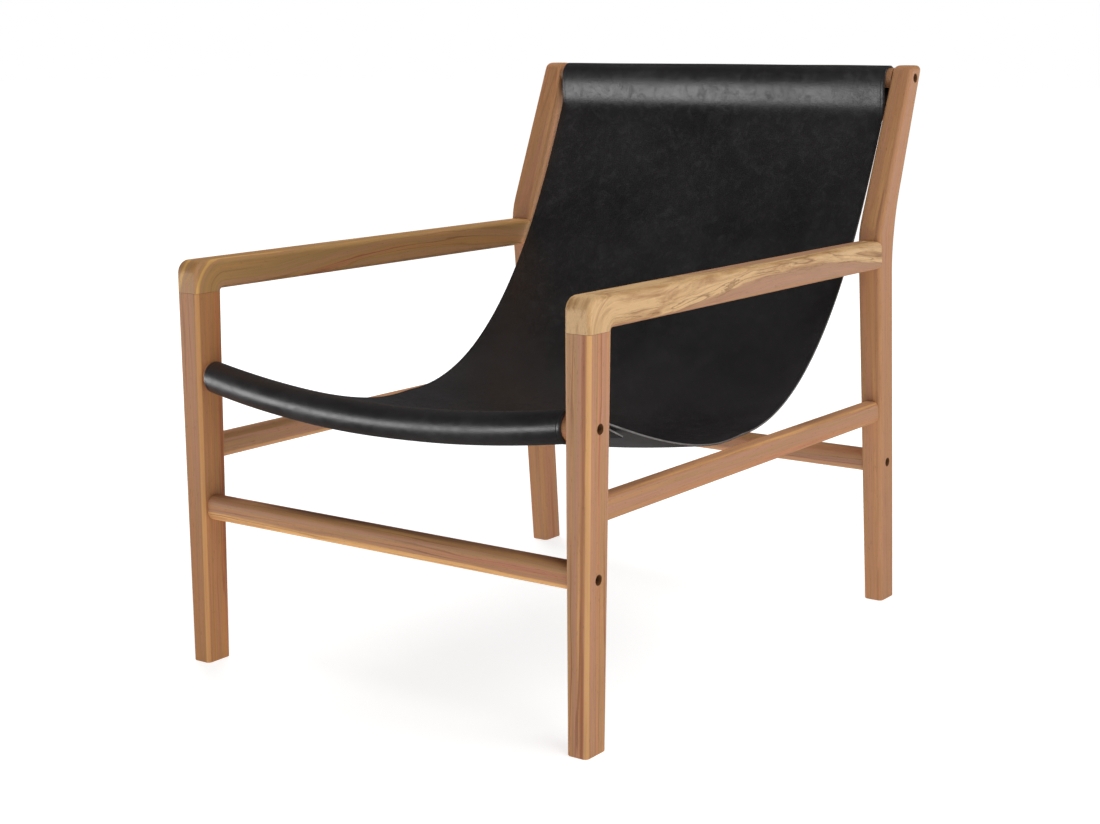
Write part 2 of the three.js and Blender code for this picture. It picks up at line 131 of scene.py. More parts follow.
class Graph:
    """Adds nodes to a tree. An input takes a socket, which is linked, or a constant."""

    def __init__(self, tree):
        self.tree = tree

    def add(self, kind, inputs=None, **settings):
        node = self.tree.nodes.new(kind)
        for name, value in settings.items():
            setattr(node, name, value)
        self.fill(node, inputs or {})
        return node

    def fill(self, node, inputs):
        for key, value in inputs.items():
            if isinstance(value, bpy.types.NodeSocket):
                self.tree.links.new(value, node.inputs[key])
            else:
                node.inputs[key].default_value = value

    def math(self, operation, a, b=0.0):
        return self.add("ShaderNodeMath", {0: a, 1: b}, operation=operation).outputs[0]

    def plus(self, a, b):
        return self.math("ADD", a, b)

    def minus(self, a, b):
        return self.math("SUBTRACT", a, b)

    def times(self, a, b):
        return self.math("MULTIPLY", a, b)

    def hypotenuse(self, a, b):
        return self.math("SQRT", self.plus(self.times(a, a), self.times(b, b)))

    def vector(self, operation, a, b):
        return self.add("ShaderNodeVectorMath", {0: a, 1: b}, operation=operation).outputs[0]

    def length(self, vector):
        return self.add("ShaderNodeVectorMath", {0: vector}, operation="LENGTH").outputs["Value"]

    def parts(self, vector):
        outputs = self.add("ShaderNodeSeparateXYZ", {0: vector}).outputs
        return outputs[0], outputs[1], outputs[2]

    def joined(self, x=0.0, y=0.0, z=0.0):
        return self.add("ShaderNodeCombineXYZ", {0: x, 1: y, 2: z}).outputs[0]

    def place(self):
        """The point on the piece, in metres."""
        return self.add("ShaderNodeTexCoord").outputs["Object"]

    def noise(self, vector, scale=1.0, detail=2.0, roughness=0.5, distortion=0.0):
        inputs = {"Vector": vector, "Scale": scale, "Detail": detail,
                  "Roughness": roughness, "Distortion": distortion}
        return self.add("ShaderNodeTexNoise", inputs).outputs[0]

    def span(self, value, low, high, to_low=0.0, to_high=1.0, smooth=False):
        """A value between low and high, as a value between two others."""
        inputs = {0: value, 1: low, 2: high, 3: to_low, 4: to_high}
        kind = "SMOOTHSTEP" if smooth else "LINEAR"
        return self.add("ShaderNodeMapRange", inputs, interpolation_type=kind).outputs[0]

    def mix(self, share, a, b, blend="MIX"):
        node = self.add("ShaderNodeMix", {0: share, 6: a, 7: b}, data_type="RGBA", blend_type=blend)
        return node.outputs[2]

    def ramp(self, value, stops):
        node = self.add("ShaderNodeValToRGB", {0: value})
        elements = node.color_ramp.elements
        while len(elements) < len(stops):
            elements.new(1.0)
        for element, (place, colour) in zip(elements, stops):
            element.position = place
            element.color = colour
        return node.outputs[0]


def linear(red, green, blue):
    """A colour given in display values from 0 to 255, as the shader's linear colour."""
    def convert(value):
        share = value / 255
        return share / 12.92 if share <= 0.04045 else ((share + 0.055) / 1.055) ** 2.4
    return (convert(red), convert(green), convert(blue), 1.0)


WHITE = (1.0, 1.0, 1.0, 1.0)


def new_material(name):
    material = bpy.data.materials.new(name)
    material.use_nodes = True
    material.node_tree.nodes.clear()
    graph = Graph(material.node_tree)
    output = graph.add("ShaderNodeOutputMaterial")
    shader = graph.add("ShaderNodeBsdfPrincipled")
    graph.tree.links.new(shader.outputs[0], output.inputs[0])
    return material, graph, shader


def finish_surface(graph, shader, colour, roughness, height, bump, shine=0.5):
    """Links a surface's colour, roughness and relief; bump is the relief's height in metres."""
    relief = graph.add("ShaderNodeBump", {"Height": height, "Distance": bump}).outputs[0]
    graph.fill(shader, {"Base Color": colour, "Roughness": roughness, "Normal": relief})
    shader.inputs["Specular IOR Level"].default_value = shine


# Wood

RED_BROWN = linear(160, 94, 65)
PINK_BROWN = linear(195, 133, 102)
ORANGE_BROWN = linear(191, 135, 93)
TAN = linear(194, 143, 99)
OLIVE_TAN = linear(181, 140, 98)
ROSE_TAN = linear(190, 139, 112)
GOLDEN = linear(228, 176, 116)
SAPWOOD = linear(218, 179, 131)
SAPWOOD_SHADE = linear(178, 134, 91)
FIGURE_BROWN = linear(132, 92, 58)
LATEWOOD = linear(138, 84, 59)
PORE = linear(96, 60, 40)
# Painted shade inside the bolt holes
HOLE_SHADE = linear(98, 64, 36)

# Run of the grain along the bent pieces
BEND_HEIGHT = 0.5365
REAR_LEG_SLOPE_BELOW = -0.0965
REAR_LEG_SLOPE_ABOVE = 0.3827
ARM_CURL_BEHIND_FACE = 0.050
ARM_CURL_HEIGHT = 0.4835
ARM_GRAIN_CREST = 0.020
ARM_GRAIN_LOW = -0.005
ARM_GRAIN_START = 0.195
ARM_GRAIN_HALF_WAVE = 0.57

# Figure of the wood: strengths are shares, and a level that a piece doesn't reach is nowhere
NOWHERE = 9.0
STEM_RIPPLE = 0.4
BAND_WEIGHT = 0.62
RED_BAND_STRENGTH = 0.75
CURLS_PAST_BOUNDARY = 0.003
CURLS_PER_METRE = 150.0
CURL_SWERVE = 0.6
CURL_LEVELS = 7.0
CURL_STRENGTH = 0.75
RINGS_PER_METRE = 150.0
RING_UNEVENNESS = 2.6
RING_STRENGTH = 0.6
RING_STRENGTH_IN_SAPWOOD = 0.25
RING_DEPTH = 0.3
FIBRE_HEIGHT = 0.5
PORE_STRENGTH = 0.4
PORE_ROUGHNESS = 0.2
EDGE_POLISH = 0.08
WOOD_SHINE = 0.14
WOOD_BUMP = 0.00006

# Bolt holes, and the strength of the painted shade inside them
BOLT_HOLE_RADIUS = 0.0062
BOLT_HOLE_RIM = 0.0006
BOLT_HOLE_SHADE_STRENGTH = 0.85

WOOD_INPUTS = {
    "Point": "NodeSocketVector",
    "Pith": "NodeSocketVector",
    "Wave": "NodeSocketFloat",
    "Band": "NodeSocketFloat",
    "Sapwood": "NodeSocketFloat",
    "Edge": "NodeSocketFloat",
    "Contrast": "NodeSocketFloat",
    "Tint": "NodeSocketColor",
}
WOOD_OUTPUTS = {"Colour": "NodeSocketColor", "Roughness": "NodeSocketFloat", "Height": "NodeSocketFloat"}


def stem_radius(graph, given, seeded, stretched):
    """Distance from the stem's middle, which wanders a little, so that the rings wave over the faces."""
    wander = graph.minus(graph.noise(stretched(14.0, 4.0), detail=2.0), 0.5)
    ripple = graph.minus(graph.noise(stretched(60.0, 17.0), detail=3.0), 0.5)
    shift = graph.times(graph.plus(wander, graph.times(ripple, STEM_RIPPLE)), given["Wave"])
    across = graph.vector("MULTIPLY", seeded, (1.0, 1.0, 0.0))
    return graph.plus(graph.length(across), shift)


def heartwood_colour(graph, given, radius, stretched):
    """Broad streaks of colour, and one red band at the level where a piece has it."""
    bands = graph.noise(graph.joined(radius, given["Wave"]), scale=85.0, detail=1.5, roughness=0.5)
    patches = graph.noise(stretched(55.0, 1.6), detail=3.0, roughness=0.55)
    tone = graph.plus(graph.times(bands, BAND_WEIGHT), graph.times(patches, 1 - BAND_WEIGHT))
    tone = graph.span(tone, 0.36, 0.65)
    streaks = graph.ramp(tone, [(0.0, RED_BROWN), (0.18, PINK_BROWN), (0.36, TAN), (0.48, OLIVE_TAN),
                                (0.62, ROSE_TAN), (0.80, TAN), (0.96, GOLDEN)])
    streaks = graph.mix(given["Contrast"], ORANGE_BROWN, streaks)
    streaks = graph.mix(1.0, streaks, given["Tint"], "MULTIPLY")
    off_band = graph.math("ABSOLUTE", graph.minus(radius, given["Band"]))
    band_share = graph.span(off_band, 0.0004, 0.0022, RED_BAND_STRENGTH, 0.0, smooth=True)
    return graph.mix(band_share, streaks, RED_BROWN)


def add_sapwood(graph, given, radius, stretched, heartwood):
    """Pale sapwood beyond a level of the stem, with brown curls beside the boundary, and its share."""
    tone = graph.noise(stretched(75.0, 9.0), detail=5.0, roughness=0.65, distortion=0.6)
    pale = graph.ramp(tone, [(0.36, SAPWOOD_SHADE), (0.54, SAPWOOD)])
    past_boundary = graph.minus(radius, given["Sapwood"])
    share = graph.span(past_boundary, -0.0007, 0.0009, smooth=True)
    colour = graph.mix(share, heartwood, pale)
    off_curls = graph.math("ABSOLUTE", graph.minus(past_boundary, CURLS_PAST_BOUNDARY))
    near = graph.span(off_curls, 0.0015, 0.007, 1.0, 0.0, smooth=True)
    flow = graph.joined(graph.times(radius, CURLS_PER_METRE), graph.times(tone, CURL_SWERVE))
    flow = graph.vector("ADD", flow, stretched(0.0, 5.0))
    levels = graph.times(graph.noise(flow, detail=1.6, roughness=0.55, distortion=0.4), CURL_LEVELS)
    curls = graph.span(graph.math("PINGPONG", levels, 0.5), 0.0, 0.17, 1.0, 0.0)
    curl_share = graph.times(graph.times(curls, near), CURL_STRENGTH)
    return graph.mix(curl_share, colour, FIGURE_BROWN), share


def late_wood_share(graph, given, radius, stretched, uneven, sapwood_share):
    """The share of dense late wood, which is a darker line in each growth ring."""
    turns = graph.plus(graph.times(radius, RINGS_PER_METRE), graph.times(uneven, RING_UNEVENNESS))
    wave = graph.math("SINE", graph.times(turns, 2.0 * math.pi))
    line = graph.span(wave, 0.72, 1.0, smooth=True)
    clear = graph.span(graph.noise(stretched(34.0, 4.0), detail=2.0), 0.44, 0.62)
    share = graph.times(graph.times(line, clear), RING_STRENGTH)
    share = graph.times(share, graph.span(sapwood_share, 0.0, 1.0, 1.0, RING_STRENGTH_IN_SAPWOOD))
    return graph.times(share, given["Contrast"])


def wood_group():
    """The figure of the wood at a point given with its grain along Z, in metres."""
    tree = bpy.data.node_groups.new("streaked_wood", "ShaderNodeTree")
    for name, kind in WOOD_INPUTS.items():
        tree.interface.new_socket(name, in_out="INPUT", socket_type=kind)
    for name, kind in WOOD_OUTPUTS.items():
        tree.interface.new_socket(name, in_out="OUTPUT", socket_type=kind)
    graph = Graph(tree)
    given = graph.add("NodeGroupInput").outputs
    seeded = graph.vector("ADD", given["Point"], given["Pith"])

    def stretched(across, along):
        """The point, with so many repeats per metre across and along the grain."""
        return graph.vector("MULTIPLY", seeded, (across, across, along))

    radius = stem_radius(graph, given, seeded, stretched)
    uneven = graph.noise(stretched(70.0, 3.0), detail=2.0)
    heartwood = heartwood_colour(graph, given, radius, stretched)
    colour, sapwood_share = add_sapwood(graph, given, radius, stretched, heartwood)
    late_wood = late_wood_share(graph, given, radius, stretched, uneven, sapwood_share)
    colour = graph.mix(late_wood, colour, LATEWOOD)

    # Fibres and open pores along the grain
    fibre = graph.noise(stretched(800.0, 14.0), detail=3.0, roughness=0.6)
    shade = graph.span(fibre, 0.3, 0.7, 0.9, 1.08)
    grey = graph.add("ShaderNodeCombineColor", {0: shade, 1: shade, 2: shade}).outputs[0]
    colour = graph.mix(1.0, colour, grey, "MULTIPLY")
    pore = graph.span(graph.noise(stretched(1500.0, 110.0), detail=1.0), 0.66, 0.74, smooth=True)
    colour = graph.mix(graph.times(pore, PORE_STRENGTH), colour, PORE)

    # Rounded edges are painted lighter and golden, partly as wear from handling and partly as a painted
    # highlight, and are polished smoother
    edge_wear_and_sheen = graph.times(given["Edge"], graph.span(uneven, 0.35, 0.65, 0.35, 1.0))
    colour = graph.mix(edge_wear_and_sheen, colour, GOLDEN)
    roughness = graph.span(fibre, 0.3, 0.7, 0.46, 0.56)
    roughness = graph.minus(roughness, graph.times(given["Edge"], EDGE_POLISH))
    roughness = graph.plus(roughness, graph.times(pore, PORE_ROUGHNESS))
    height = graph.minus(graph.times(fibre, FIBRE_HEIGHT), pore)
    height = graph.minus(height, graph.times(late_wood, RING_DEPTH))

    results = graph.add("NodeGroupOutput")
    graph.fill(results, {"Colour": colour, "Roughness": roughness, "Height": height})
    return tree


def upright_grain(graph, x, y, z):
    return x, y, z


def crosswise_grain(graph, x, y, z):
    return y, z, x


def lengthwise_grain(graph, x, y, z):
    return x, z, y


def raked_grain(graph, x, y, z):
    """Grain along a rear leg, which turns at the bend."""
    past = graph.minus(z, BEND_HEIGHT)
    below = graph.times(graph.math("MINIMUM", past, 0.0), REAR_LEG_SLOPE_BELOW)
    above = graph.times(graph.math("MAXIMUM", past, 0.0), REAR_LEG_SLOPE_ABOVE)
    return x, graph.minus(y, graph.plus(below, above)), z


def curling_grain(graph, x, y, z):
    """Grain along an arm that curls down round the corner at its front end and crests further back."""
    up = graph.minus(z, ARM_CURL_HEIGHT)
    forward = graph.math("MAXIMUM", graph.minus(front_leg_face + ARM_CURL_BEHIND_FACE, y), 0.0)
    along = graph.minus(y, front_leg_face + ARM_GRAIN_START)
    crest = graph.math("SINE", graph.times(along, math.pi / ARM_GRAIN_HALF_WAVE))
    rise = graph.math("MAXIMUM", graph.times(crest, ARM_GRAIN_CREST), ARM_GRAIN_LOW)
    return x, graph.minus(graph.hypotenuse(up, forward), rise), y


def paint_hole_shade(graph, colour, y, z, holes):
    """Paints shade on the wood inside bolt holes, whose places are given in Y and Z."""
    for hole_y, hole_z in holes:
        distance = graph.hypotenuse(graph.minus(y, hole_y), graph.minus(z, hole_z))
        rim = BOLT_HOLE_RADIUS + BOLT_HOLE_RIM
        inside = graph.span(distance, BOLT_HOLE_RADIUS, rim, BOLT_HOLE_SHADE_STRENGTH, 0.0)
        colour = graph.mix(inside, colour, HOLE_SHADE)
    return colour


def wood_material(name, group, grain, pith, wave, edge_wear_and_sheen, contrast,
                  tint=WHITE, sapwood=NOWHERE, band=NOWHERE, holes=()):
    """Wood whose grain follows a piece.

    Pith is the way from the stem's middle to the origin, wave how much the rings wave, the edge share
    how much lighter and more golden the rounded edges are painted, partly as wear and partly as a
    painted highlight, contrast how strong the streaks are, and sapwood and band are levels in the stem.
    """
    material, graph, shader = new_material(name)
    place = graph.add("ShaderNodeTexCoord")
    x, y, z = graph.parts(place.outputs["Object"])
    facing_x, facing_y, _ = graph.parts(place.outputs["Normal"])
    side = facing_y if grain is crosswise_grain else facing_x
    squared = graph.times(side, side)
    corner = graph.times(squared, graph.minus(1.0, squared))
    figure = graph.add("ShaderNodeGroup", node_tree=group)
    graph.fill(figure, {
        "Point": graph.joined(*grain(graph, x, y, z)),
        "Edge": graph.span(corner, 0.005, 0.12, 0.0, edge_wear_and_sheen, smooth=True),
        "Pith": pith,
        "Wave": wave,
        "Contrast": contrast,
        "Tint": tint,
        "Sapwood": sapwood,
        "Band": band,
    })
    found = figure.outputs
    colour = paint_hole_shade(graph, found["Colour"], y, z, holes)
    finish_surface(graph, shader, colour, found["Roughness"], found["Height"], WOOD_BUMP, WOOD_SHINE)
    return material


# Leather

LEATHER_BLACK = linear(32, 30, 31)
LEATHER_SOFT_BLACK = linear(42, 40, 41)
LEATHER_WORN = linear(53, 51, 52)
LEATHER_SPECK = linear(72, 70, 69)
FLESH_DARK = linear(52, 51, 51)
FLESH_LIGHT = linear(66, 65, 65)
FLESH_NAP = linear(80, 79, 79)
EDGE_GREY = linear(112, 110, 109)
EDGE_PALE = linear(146, 144, 143)
EDGE_FIBRE = linear(92, 90, 89)
# Painted shade on the cut edge where it shows round the rails
EDGE_SHADE = linear(52, 45, 42)
THREAD_DARK = linear(26, 25, 25)
THREAD_LIGHT = linear(52, 51, 50)

WORN_STRENGTH = 0.28
WORN_ROUGHNESS = 0.18
SPECK_STRENGTH = 0.25
PEBBLE_HEIGHT = 0.25
GRAIN_HEIGHT = 0.25
PIT_HEIGHT = 0.6
SCUFF_HEIGHT = 1.6
# Strength of the painted shade on the cut edge round the rails
EDGE_SHADE_STRENGTH = 0.9


def leather_material():
    """The smooth grain side: near black, with scuffs and specks that show in its gloss."""
    material, graph, shader = new_material("black_leather")
    point = graph.place()
    clouds = graph.noise(point, scale=11.0, detail=4.0, roughness=0.6, distortion=0.4)
    scuffs = graph.noise(point, scale=70.0, detail=6.0, roughness=0.68, distortion=0.9)
    pits = graph.noise(point, scale=420.0, detail=2.0, roughness=0.6)
    grain = graph.noise(point, scale=1100.0, detail=3.0, roughness=0.6)
    cells = graph.add("ShaderNodeTexVoronoi", {"Vector": point, "Scale": 800.0},
                      feature="DISTANCE_TO_EDGE").outputs["Distance"]
    pebbles = graph.span(cells, 0.0, 0.25)
    worn = graph.span(scuffs, 0.42, 0.74, smooth=True)
    specks = graph.span(graph.noise(point, scale=330.0, detail=2.0), 0.66, 0.72, smooth=True)
    colour = graph.ramp(clouds, [(0.32, LEATHER_BLACK), (0.68, LEATHER_SOFT_BLACK)])
    colour = graph.mix(graph.times(worn, WORN_STRENGTH), colour, LEATHER_WORN)
    colour = graph.mix(graph.times(specks, SPECK_STRENGTH), colour, LEATHER_SPECK)
    roughness = graph.span(clouds, 0.3, 0.7, 0.27, 0.39)
    roughness = graph.plus(roughness, graph.times(worn, WORN_ROUGHNESS))
    height = graph.times(pebbles, PEBBLE_HEIGHT)
    for relief, share in ((grain, GRAIN_HEIGHT), (pits, PIT_HEIGHT), (scuffs, SCUFF_HEIGHT)):
        height = graph.plus(height, graph.times(relief, share))
    finish_surface(graph, shader, colour, roughness, height, bump=0.0001)
    return material


def flesh_material():
    """The rough back of the hide."""
    material, graph, shader = new_material("leather_back")
    point = graph.place()
    nap = graph.noise(point, scale=700.0, detail=4.0, roughness=0.7)
    clouds = graph.noise(point, scale=16.0, detail=3.0, roughness=0.6)
    colour = graph.ramp(clouds, [(0.3, FLESH_DARK), (0.7, FLESH_LIGHT)])
    colour = graph.mix(graph.span(nap, 0.35, 0.75, 0.0, 0.5), colour, FLESH_NAP)
    roughness = graph.span(nap, 0.3, 0.7, 0.75, 0.95)
    finish_surface(graph, shader, colour, roughness, nap, bump=0.00015, shine=0.25)
    return material


def cut_edge_material():
    """The sheet's sanded grey edge, with painted shade where it shows round the two rails."""
    material, graph, shader = new_material("leather_cut_edge")
    point = graph.place()
    fibres = graph.noise(point, scale=900.0, detail=4.0, roughness=0.7)
    blotches = graph.noise(point, scale=60.0, detail=3.0)
    colour = graph.ramp(blotches, [(0.3, EDGE_GREY), (0.7, EDGE_PALE)])
    colour = graph.mix(graph.span(fibres, 0.35, 0.7, 0.0, 0.55), colour, EDGE_FIBRE)
    _, depth, level = graph.parts(point)
    # The cut edge is painted darker, as shade, near the top rail and at the front roll
    top_shade = graph.span(level, TOP_PALE_TO, TOP_SHADED_FROM, 0.0, EDGE_SHADE_STRENGTH, smooth=True)
    front_shade = graph.span(depth, FRONT_SHADED_TO, FRONT_PALE_FROM, EDGE_SHADE_STRENGTH, 0.0, smooth=True)
    colour = graph.mix(graph.math("MAXIMUM", top_shade, front_shade), colour, EDGE_SHADE)
    roughness = graph.span(fibres, 0.3, 0.7, 0.6, 0.8)
    finish_surface(graph, shader, colour, roughness, fibres, bump=0.0001, shine=0.3)
    return material


def thread_material():
    """Waxed black thread with its twist."""
    material, graph, shader = new_material("waxed_thread")
    twist = graph.add("ShaderNodeTexWave", {"Vector": graph.place(), "Scale": 420.0, "Distortion": 0.6},
                      bands_direction="DIAGONAL").outputs["Fac"]
    colour = graph.ramp(twist, [(0.2, THREAD_DARK), (0.9, THREAD_LIGHT)])
    roughness = graph.span(twist, 0.0, 1.0, 0.4, 0.55)
    finish_surface(graph, shader, colour, roughness, twist, bump=0.00008)
    return material


# Metal

STEEL_DARK = linear(84, 82, 79)
STEEL_LIGHT = linear(126, 122, 116)
BRASS_DARK = linear(168, 134, 72)
BRASS_LIGHT = linear(198, 164, 98)
STEEL_ROUGHNESS = (0.38, 0.55)
BRASS_ROUGHNESS = (0.28, 0.42)
TURNING_MARKS = (2600.0, 300.0, 300.0)


def metal_material(name, dark, light, roughness_span):
    """Turned metal with faint blotches and marks across its axis."""
    material, graph, shader = new_material(name)
    point = graph.place()
    blotches = graph.noise(point, scale=260.0, detail=4.0, roughness=0.65)
    turning = graph.noise(graph.vector("MULTIPLY", point, TURNING_MARKS), detail=2.0)
    colour = graph.ramp(blotches, [(0.3, dark), (0.7, light)])
    roughness = graph.span(blotches, 0.3, 0.7, *roughness_span)
    shader.inputs["Metallic"].default_value = 1.0
    finish_surface(graph, shader, colour, roughness, turning, bump=0.00003)
    return material


# Solids of the frame

def smoothing_group():
    """Shades rounded edges smooth and leaves flat faces flat."""
    tree = bpy.data.node_groups.new("smooth_rounds", "GeometryNodeTree")
    for way in ("INPUT", "OUTPUT"):
        tree.interface.new_socket("Geometry", in_out=way, socket_type="NodeSocketGeometry")
    graph = Graph(tree)
    given = graph.add("NodeGroupInput").outputs[0]
    merged = graph.add("GeometryNodeMergeByDistance", {"Geometry": given, "Distance": MERGE_DISTANCE})
    bare = graph.add("GeometryNodeRemoveAttribute",
                     {"Geometry": merged.outputs[0], "Name": "custom_normal"})
    faces = graph.add("GeometryNodeSetShadeSmooth",
                      {"Geometry": bare.outputs[0], "Shade Smooth": True}, domain="FACE")
    angle = graph.add("GeometryNodeInputMeshEdgeAngle").outputs["Unsigned Angle"]
    round_edge = graph.add("FunctionNodeCompare", {0: angle, 1: math.radians(SHARP_EDGE_DEG)},
                           data_type="FLOAT", operation="LESS_THAN").outputs[0]
    edges = graph.add("GeometryNodeSetShadeSmooth",
                      {"Geometry": faces.outputs[0], "Shade Smooth": round_edge}, domain="EDGE")
    graph.add("NodeGroupOutput", {0: edges.outputs[0]})
    return tree


def dress(node, material, shading):
    """Gives a solid its material and smooth rounds."""
    thing = frame["nodes"][node]
    if not thing.material_slots:
        thing.data.materials.append(None)
    for place in thing.material_slots:
        place.material = material
    smooth = thing.modifiers.new("smooth_rounds", "NODES")
    smooth.node_group = shading
    weighted = thing.modifiers.new("flat_faces", "WEIGHTED_NORMAL")
    weighted.keep_sharp = True


WOOD_PIECES = {
    "front_leg_left": dict(
        grain=upright_grain, pith=(-0.36, 0.33, 1.3), wave=0.004, edge_wear_and_sheen=0.8, contrast=1.0,
        tint=(1.02, 0.98, 0.96, 1.0), band=0.0976),
    "front_leg_right": dict(
        grain=upright_grain, pith=(0.24, 0.345, 2.7), wave=0.004, edge_wear_and_sheen=0.5, contrast=0.8,
        tint=(0.91, 0.81, 0.63, 1.0)),
    "rear_leg_left": dict(
        grain=raked_grain, pith=(-0.22, -0.42, 4.1), wave=0.007, edge_wear_and_sheen=0.2, contrast=0.45,
        tint=(0.92, 0.93, 0.96, 1.0)),
    "rear_leg_right": dict(
        grain=raked_grain, pith=(0.33, -0.47, 5.9), wave=0.007, edge_wear_and_sheen=0.2, contrast=0.45,
        tint=(0.97, 0.97, 0.98, 1.0)),
    "armrest_left": dict(
        grain=curling_grain, pith=(-0.2075, 0.06, 9.2), wave=0.010, edge_wear_and_sheen=0.15, contrast=0.4,
        tint=(0.88, 0.98, 1.2, 1.0), sapwood=0.1288),
    "armrest_right": dict(
        grain=curling_grain, pith=(0.21, 0.05, 7.7), wave=0.011, edge_wear_and_sheen=0.2, contrast=0.95,
        tint=(0.91, 0.94, 0.76, 1.0)),
    "side_stretcher_left": dict(
        grain=lengthwise_grain, pith=(-0.35, -0.21, 11.4), wave=0.006, edge_wear_and_sheen=0.08, contrast=0.9,
        tint=(0.98, 0.96, 0.97, 1.0)),
    "side_stretcher_right": dict(
        grain=lengthwise_grain, pith=(0.34, -0.23, 12.8), wave=0.006, edge_wear_and_sheen=0.3, contrast=0.9),
    "front_stretcher": dict(
        grain=crosswise_grain, pith=(0.44, -0.15, 14.3), wave=0.008, edge_wear_and_sheen=0.2, contrast=1.0,
        tint=(1.0, 0.97, 0.94, 1.0)),
    "rear_stretcher": dict(
        grain=crosswise_grain, pith=(-0.29, -0.26, 15.6), wave=0.008, edge_wear_and_sheen=0.2, contrast=0.9,
        tint=(0.83, 0.85, 0.88, 1.0)),
    "front_seat_rail": dict(
        grain=crosswise_grain, pith=(0.45, -0.32, 17.1), wave=0.006, edge_wear_and_sheen=0.0, contrast=0.7),
    # The top rail's darker tint is painted shade, for the shadow between the leather sleeve and the
    # posts
    "top_back_rail": dict(
        grain=crosswise_grain, pith=(-0.31, -0.70, 18.9), wave=0.006, edge_wear_and_sheen=0.0, contrast=0.7,
        tint=(0.78, 0.76, 0.76, 1.0)),
}
DOWEL_LOOK = dict(
    grain=lengthwise_grain, pith=(0.2, 0.2, 21.0), wave=0.004, edge_wear_and_sheen=0.0, contrast=0.5, sapwood=0.0)
LEG_BOLTS = {"front_leg": ("seat_rail", "front_stretcher"), "rear_leg": ("rear_stretcher", "top_rail")}


def bolt_holes(node):
    """Where the bolts go through a leg, in Y and Z."""
    kind, _, side = node.rpartition("_")
    middles = []
    for place in LEG_BOLTS.get(kind, ()):
        low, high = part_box(f"bolt_{place}_{side}")
        middles.append(((low.y + high.y) / 2, (low.z + high.z) / 2))
    return middles


def dress_frame():
    figure = wood_group()
    shading = smoothing_group()
    for node, look in WOOD_PIECES.items():
        material = wood_material(node + "_wood", figure, holes=bolt_holes(node), **look)
        dress(node, material, shading)
    slot_materials = {
        "dowel_wood": wood_material("pale_dowel_wood", figure, **DOWEL_LOOK),
        "bolt_steel": metal_material("blackened_steel", STEEL_DARK, STEEL_LIGHT, STEEL_ROUGHNESS),
        "insert_brass": metal_material("plain_brass", BRASS_DARK, BRASS_LIGHT, BRASS_ROUGHNESS),
    }
    for row in frame["record"]["subparts"]:
        slot = row["material_slot"]
        if slot in slot_materials:
            dress(row["node"], slot_materials[slot], shading)


# Meshes

def add_mesh(name, points, faces, materials, kinds=None, smooth=True):
    """Adds a mesh to the scene; kinds gives the number of each face's material."""
    mesh = bpy.data.meshes.new(name)
    mesh.from_pydata(points, [], faces)
    for material in materials:
        mesh.materials.append(material)
    if kinds:
        mesh.polygons.foreach_set("material_index", kinds)
    mesh.polygons.foreach_set("use_smooth", [smooth] * len(faces))
    mesh.update()
    thing = bpy.data.objects.new(name, mesh)
    bpy.context.scene.collection.objects.link(thing)
    return thing


# Lines in Y and Z

def away(start, degrees, distance):
    angle = math.radians(degrees)
    return start + distance * np.array([math.cos(angle), math.sin(angle)])


def arc(middle, radius, start, end, spans):
    return np.array([away(middle, degrees, radius) for degrees in np.linspace(start, end, spans + 1)])


def run_along(line):
    """The distance along a line at each of its points."""
    steps = np.linalg.norm(np.diff(line, axis=0), axis=1)
    return np.concatenate([[0], np.cumsum(steps)])


def pick(places, run, line):
    """Points of a line at the given places on its run."""
    return np.column_stack([np.interp(places, run, line[:, axis]) for axis in range(2)])


def bezier(points, shares):
    """Points of a cubic curve at the given shares of its length, and that length."""
    ahead = np.linspace(0, 1, CURVE_STEPS)[:, None]
    left = 1 - ahead
    start, start_pull, end_pull, end = points
    pulled = start_pull * left + end_pull * ahead
    curve = start * left ** 3 + 3 * left * ahead * pulled + end * ahead ** 3
    run = run_along(curve)
    return pick(np.asarray(shares) * run[-1], run, curve), run[-1]


def normals_of(line):
    """Unit normals on the left of a line."""
    ahead = np.gradient(line, axis=0)
    ahead /= np.linalg.norm(ahead, axis=1)[:, None]
    return np.column_stack([-ahead[:, 1], ahead[:, 0]])


def beside(points, whole, start, end, offset, growth):
    """A line beside a curve, from one distance along it to another, at an offset that may grow."""
    share = np.linspace(0, 1, FLAP_ROWS + 1)
    steps = np.linspace(0, 1, CURVE_STEPS)
    curve, _ = bezier(points, steps)
    places = (start + (end - start) * share) / whole
    out = pick(places, steps, normals_of(curve))
    return pick(places, steps, curve) + out * (offset + growth * share)[:, None]


def touch_degrees(middle, radius, point, turn):
    """The direction, from a circle's middle, of the place where a line from a point touches it."""
    line = point - middle
    spread = math.acos(radius / np.linalg.norm(line))
    return math.degrees(math.atan2(line[1], line[0]) + turn * spread)


# Sheet

GRAIN_SIDE = 0
FLESH_SIDE = 1
CUT_EDGE = 2

seat_low, seat_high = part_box("front_seat_rail")
top_low, top_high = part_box("top_back_rail")
half_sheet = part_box("leather_sling")[1].x - SHEET_TRIM
top_rail_radius = (top_high.z - top_low.z) / 2
top_axis = np.array([(top_low.y + top_high.y) / 2, (top_low.z + top_high.z) / 2])


def seat_axis(x):
    """The middle of the seat rail, in Y and Z, which bows forward and dips between the legs."""
    share = 1 - (x / seat_high.x) ** 2
    bow = seat_high.y - seat_low.y - 2 * SEAT_RAIL_RADIUS
    dip = seat_high.z - seat_low.z - 2 * SEAT_RAIL_RADIUS
    at_leg = np.array([seat_high.y, seat_high.z]) - SEAT_RAIL_RADIUS
    return at_leg - share * np.array([bow, dip])


